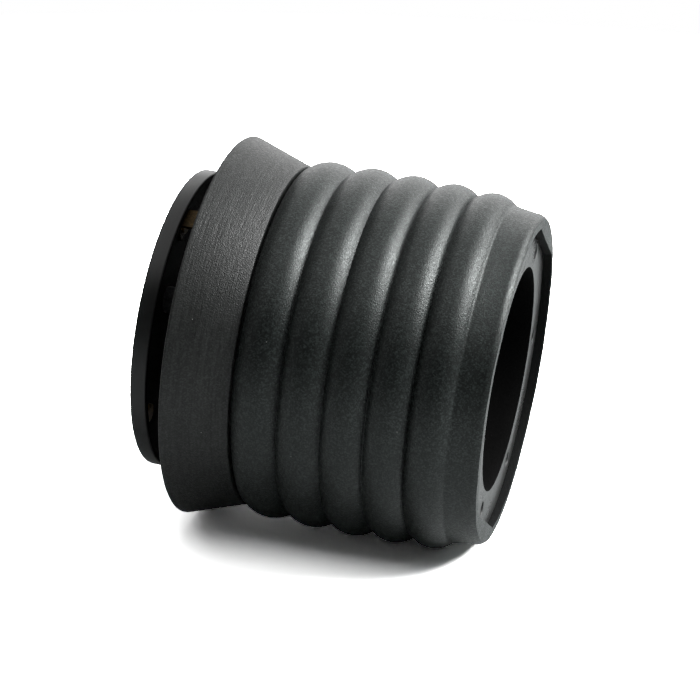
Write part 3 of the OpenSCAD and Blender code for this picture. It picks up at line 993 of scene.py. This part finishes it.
@dataclass
class Skirt:
    """The flared skirt ring behind the last rib, with the shoulder it is screwed on by."""

    shroud: Shroud
    gap: float = 0.8  # behind the last rib
    length: float = 16.7
    front_r: float = 46.0
    flare: float = 5.8
    band_t: float = 0.6  # the clamp band that it clears
    lip_wall: float = 2.2
    shoulder: float = 1.1  # in front of its back edge
    shoulder_in: float = 5.6  # from the flange's edge
    screws: int = 3
    screws_in: float = 2.5  # from the flange's edge
    screw_r: float = 1.5
    outer_edge: float = 0.6  # radii of the broken edges
    inner_edge: float = 0.3
    front_edge: float = 0.2
    seat_edge: float = 0.1

    def build(self) -> None:
        """Spins the ring with its edges broken and drills its shoulder."""
        front = self.shroud.ribs_back - self.gap
        back = front - self.length
        back_r = self.front_r + self.flare
        bore_r = self.shroud.band_r + self.band_t + SEAT_FIT
        inner, outer = back + self.shoulder, self.shroud.tail
        shoulder_r = self.shroud.flange_r - self.shoulder_in
        bm = spun(rounded([
            (front, bore_r, self.front_edge), (front, self.front_r, self.outer_edge),
            (back, back_r, self.outer_edge), (back, back_r - self.lip_wall, self.inner_edge),
            (inner, back_r - 2 * self.lip_wall, self.inner_edge), (inner, shoulder_r, self.inner_edge),
            (outer, shoulder_r, self.seat_edge), (outer, bore_r, self.seat_edge),
        ]), SPIN_STEPS)
        hole_r = self.screw_r + HOLE_FIT
        hole = [(inner - PAST, hole_r), (outer + PAST, hole_r)]
        bm = drilled(bm, around(self.screws, 0.0), self.shroud.flange_r - self.screws_in, hole)
        # The skirt's inner faces get painted shade.
        mark_painted_shade(bm, back_r)
        add_piece("flared_skirt", bm, "skirt_ring", SKIRT_BLACK, PAINTED_SHADE_BLACK)


@dataclass
class ContactCarrier:
    """The plastic carrier of the horn contact ring."""

    shroud: Shroud
    gap: float = 12.0  # from the shroud's tail to the web
    web: float = 2.6
    rim: float = 4.3
    radius: float = 40.55
    wall: float = 2.0
    bore_r: float = 19.15
    ring_out_r: float = 37.6
    ring_in_r: float = 33.0
    ring_depth: float = 0.5
    screws: int = 3
    screw_angle: float = 60.0
    screw_r: float = 2.0
    head_r: float = 4.0
    rim_edge: float = 0.35  # radii of the broken edges
    back_edge: float = 0.45
    bore_edge: float = 0.3
    root: float = 0.5

    def build(self) -> None:
        """Spins the dished carrier with its ring's groove and sinks its screws."""
        web_front = self.shroud.tail - self.gap
        back = web_front - self.web
        front = back + self.rim
        rim_r = self.radius - self.wall
        ring_out, ring_in = self.ring_out_r + METAL_FIT, self.ring_in_r - METAL_FIT
        floor = back + self.ring_depth
        bm = spun(rounded([
            (front, self.radius, self.rim_edge), (back, self.radius, self.back_edge),
            (back, ring_out, 0.0), (floor, ring_out, 0.0),
            (floor, ring_in, 0.0), (back, ring_in, 0.0),
            (back, self.bore_r, self.bore_edge), (web_front, self.bore_r, self.bore_edge),
            (web_front, rim_r, self.root), (front, rim_r, self.rim_edge),
        ]), SPIN_STEPS)
        hole_r, head_r = self.screw_r + HOLE_FIT, self.head_r + METAL_FIT
        seat = [
            (back - PAST, head_r), (back, head_r),
            (back + head_r - hole_r, hole_r), (web_front + PAST, hole_r),
        ]
        middle = (self.bore_r + self.ring_in_r) / 2
        bm = drilled(bm, around(self.screws, self.screw_angle), middle, seat)
        # The carrier's inner and forward faces in the gap get painted shade.
        mark_painted_shade(bm, self.radius - self.wall / 2, front=True)
        add_piece(
            "contact_carrier", bm, "slip_ring_carrier", CARRIER_BLACK, PAINTED_SHADE_BLACK,
        )


@dataclass
class CadFinishes:
    """Finishes of the pieces that keep their CAD shape."""

    table: dict[str, Finish] = field(default_factory=lambda: {
        # The crush tube's inside is painted shade.
        "crush_tube": PAINTED_SHADE_BLACK,
        "boss": CAST_ALLOY,
        "boss_flange": CAST_ALLOY,
        "boss_gussets": CAST_ALLOY,
        "spline_bush": STEEL,
        "bush_dowels": STEEL,
        "tube_screws": BLACK_OXIDE,
        "tube_washers": ZINC,
        "clamp_band": ZINC,
        "skirt_screws": BLACK_OXIDE,
        "slip_ring": BRASS,
        "slip_ring_rivets": BRASS_DULL_PAINTED_SHADE,
        "horn_terminal": BRASS_DARK_PAINTED_SHADE,
        "terminal_rivet": BRASS_DULL_PAINTED_SHADE,
        "carrier_spacers": BLACK_OXIDE,
        "carrier_screws": YELLOW_ZINC,
        "cancel_cam": NYLON,
        "cam_clip": SPRING,
        "wire_grommet": GROMMET,
    })

    def dress(self, nodes: dict[str, bpy.types.Object]) -> None:
        """Gives each kept CAD node its finish.

        Args:
            nodes: the frame's CAD objects by name.
        """
        for name, finish in self.table.items():
            for place in nodes[name].material_slots:
                place.material = finish.build()
            LOG.info("%s: %s", name, finish.name)


# ---------------------------------------------------------------- studio


def in_view(n: Nodes) -> Socket:
    """Mask that is 1 where the camera sees a surface, directly or through a clear one."""
    path = n.add("ShaderNodeLightPath")
    return n.math("MAXIMUM", path.outputs["Is Camera Ray"], path.outputs["Is Transmission Ray"])


@dataclass(frozen=True)
class Softbox:
    """A square lamp that faces the hub: direction in degrees, reach and width in metres."""

    name: str
    azimuth: float
    elevation: float
    reach: float
    size: float
    watts: float


@dataclass
class Studio:
    """Floor, room, lights and camera: metres and degrees, but millimetres inside the camera."""

    eye: Triple = (0.0723, -0.5203, 0.2066)
    right: Triple = (0.96186, 0.25423, 0.10094)
    up: Triple = (-0.18385, 0.32759, 0.92673)
    lens: float = 110.0
    sensor: float = 36.0
    nearest: float = 0.01  # what the camera still sees, in metres
    tilt: float = 3.547  # of the floor, since the hub rests on its skirt and front rib
    touch: Triple = (-0.07935, 0.0, -0.0519)
    floor_reach: float = 4.0
    fade: Point = (0.35, 0.7)  # where the floor goes over to plain white
    floor_lit: Triple = (0.35, 0.35, 0.35)
    floor_mirrored: Triple = (0.4, 0.42, 0.42)
    floor_seen: Triple = (5.4, 5.4, 5.4)
    room_lit: Triple = (0.01, 0.01, 0.01)
    room_seen: Triple = (1.0, 1.0, 1.0)
    target: Triple = (-0.04, 0.0, 0.0)
    boxes: tuple[Softbox, ...] = (
        Softbox("key_softbox", 3.0, 47.0, 0.9, 0.34, 12.0),
        Softbox("rear_softbox", 48.0, 38.0, 0.9, 0.34, 2.7),
        Softbox("back_panel", 95.0, 22.0, 1.4, 1.3, 9.5),
        Softbox("overhead_panel", 0.0, 89.9, 1.2, 2.2, 13.5),
        Softbox("left_panel", -165.0, 34.0, 1.2, 1.4, 1.6),
    )

    def camera(self) -> None:
        """Makes the camera and sets it."""
        data = bpy.data.cameras.new("camera")
        data.lens = self.lens
        data.sensor_width = self.sensor
        data.clip_start = self.nearest
        cam = bpy.data.objects.new("camera", data)
        right, up = Vector(self.right).normalized(), Vector(self.up)
        up = (up - right * up.dot(right)).normalized()
        turn = Matrix((right, up, right.cross(up))).transposed().to_4x4()
        cam.matrix_world = Matrix.Translation(Vector(self.eye)) @ turn
        bpy.context.scene.collection.objects.link(cam)
        bpy.context.scene.camera = cam

    def floor_white(self) -> bpy.types.Material:
        """Makes the floor's material: white in view, darker in reflections, and glowing far out.

        Returns:
            The material.
        """
        material = bpy.data.materials.new("floor_white")
        material.use_nodes = True
        n = Nodes(material.node_tree)
        n.tree.nodes.remove(n.tree.nodes["Principled BSDF"])
        seen = in_view(n)
        glossy = n.add("ShaderNodeLightPath").outputs["Is Glossy Ray"]
        tone = n.mix(seen, n.mix(glossy, self.floor_lit, self.floor_mirrored), self.floor_seen)
        place = n.add("ShaderNodeTexCoord").outputs["Object"]
        reach = n.add("ShaderNodeVectorMath", operation="LENGTH", vector=place)
        glow = n.math("MULTIPLY", n.rise(reach.outputs["Value"], *self.fade), seen)
        diffuse = n.add("ShaderNodeBsdfDiffuse", color=tone)
        white = n.add("ShaderNodeEmission")
        faded = n.add("ShaderNodeMixShader")
        for socket, value in zip(faded.inputs, (glow, diffuse.outputs[0], white.outputs[0])):
            n.feed(socket, value)
        n.feed(n.tree.nodes["Material Output"].inputs["Surface"], faded.outputs[0])
        return material

    def floor(self) -> None:
        """Makes the floor that the hub's skirt and front rib rest on."""
        bm = bmesh.new()
        bmesh.ops.create_grid(bm, x_segments=1, y_segments=1, size=self.floor_reach)
        turn = Matrix.Rotation(math.radians(-self.tilt), 4, "Y")
        bmesh.ops.transform(bm, matrix=Matrix.Translation(Vector(self.touch)) @ turn, verts=bm.verts)
        floor = scene_object("floor", bm)
        floor.data.materials.append(self.floor_white())

    def world(self) -> None:
        """Makes a soft room that shows white behind the hub."""
        world = bpy.data.worlds.new("room")
        bpy.context.scene.world = world
        world.use_nodes = True
        n = Nodes(world.node_tree)
        tone = n.mix(in_view(n), self.room_lit, self.room_seen)
        n.feed(n.tree.nodes["Background"].inputs["Color"], tone)

    def lamp(self, box: Softbox) -> None:
        """Makes one softbox, which the camera doesn't see.

        Args:
            box: its place, size and power.
        """
        data = bpy.data.lights.new(box.name, "AREA")
        data.shape = "SQUARE"
        data.size = box.size
        data.energy = box.watts
        lamp = bpy.data.objects.new(box.name, data)
        azimuth, elevation = math.radians(box.azimuth), math.radians(box.elevation)
        level = math.cos(elevation)
        away = Vector((math.cos(azimuth) * level, math.sin(azimuth) * level, math.sin(elevation)))
        turn = away.to_track_quat("Z", "Y").to_matrix().to_4x4()
        lamp.matrix_world = Matrix.Translation(Vector(self.target) + away * box.reach) @ turn
        lamp.visible_camera = False
        bpy.context.scene.collection.objects.link(lamp)

    def build(self) -> None:
        """Sets the whole studio up."""
        self.camera()
        self.floor()
        self.world()
        for box in self.boxes:
            self.lamp(box)
        bpy.context.scene.view_settings.view_transform = "Standard"


def main() -> None:
    """Builds the pieces in order and the studio."""
    logging.basicConfig(level=logging.INFO, format="%(name)s: %(message)s")
    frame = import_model()
    plate = FrontPlate()
    shroud = Shroud(plate)
    shroud.build()
    Skirt(shroud).build()
    plate.build()
    ContactCarrier(shroud).build()
    CadFinishes().dress(frame["nodes"])
    Studio().build()


if __name__ == "__main__":
    main()
